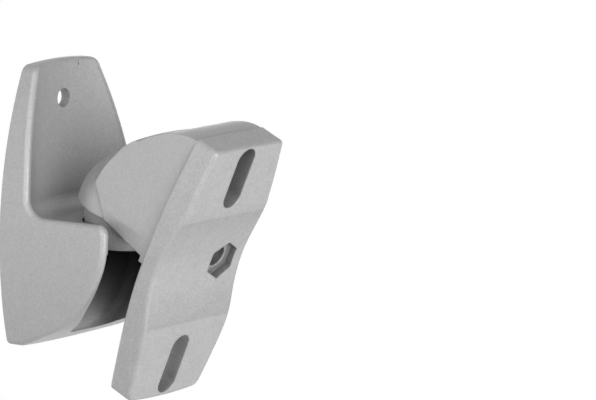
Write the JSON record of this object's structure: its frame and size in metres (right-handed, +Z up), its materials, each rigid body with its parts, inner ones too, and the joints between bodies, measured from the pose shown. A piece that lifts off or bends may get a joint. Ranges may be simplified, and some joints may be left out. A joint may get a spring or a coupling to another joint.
{
  "type": "speaker wall bracket",
  "caption": "Silver plastic wall bracket for a small loudspeaker: a flanked wall part carries a turning drum and a tilting hood with a slotted speaker plate.",
  "frame": {"origin": "centre of the upper wall screw hole, on the wall plane", "axes": "+X to the right along the wall, -Y out from the wall, +Z up"},
  "size_m": [0.0642, 0.0921, 0.1205],
  "materials": {
    "silver_plastic": "matt neutral silver with a fine metallic speckle",
    "zinc_steel": "plain zinc plated",
    "natural_nylon": "natural, smooth"
  },
  "bodies": {
    "wall_bracket": {"wall_part": "silver_plastic", "swivel_bolt": "zinc_steel", "lower_friction_disc": "natural_nylon"},
    "turntable": {"swivel_drum": "silver_plastic", "upper_friction_disc": "natural_nylon", "swivel_washer": "zinc_steel", "lower_disc_spring": "zinc_steel", "upper_disc_spring": "zinc_steel", "swivel_nut": "zinc_steel", "tilt_friction_rings": "natural_nylon"},
    "speaker_head": {"hood": "silver_plastic", "speaker_plate": "silver_plastic", "tilt_screws": "zinc_steel"}
  },
  "joints": [
    {"name": "pan", "type": "hinge", "parent": "wall_bracket", "child": "turntable", "pos_m": [0, -0.039, -0.041], "axis": [0, 0, 1], "range_deg": [-22, 22]},
    {"name": "tilt", "type": "hinge", "parent": "turntable", "child": "speaker_head", "pos_m": [0, -0.039, -0.038], "axis": [1, 0, 0], "range_deg": [-25, 5]}
  ]
}
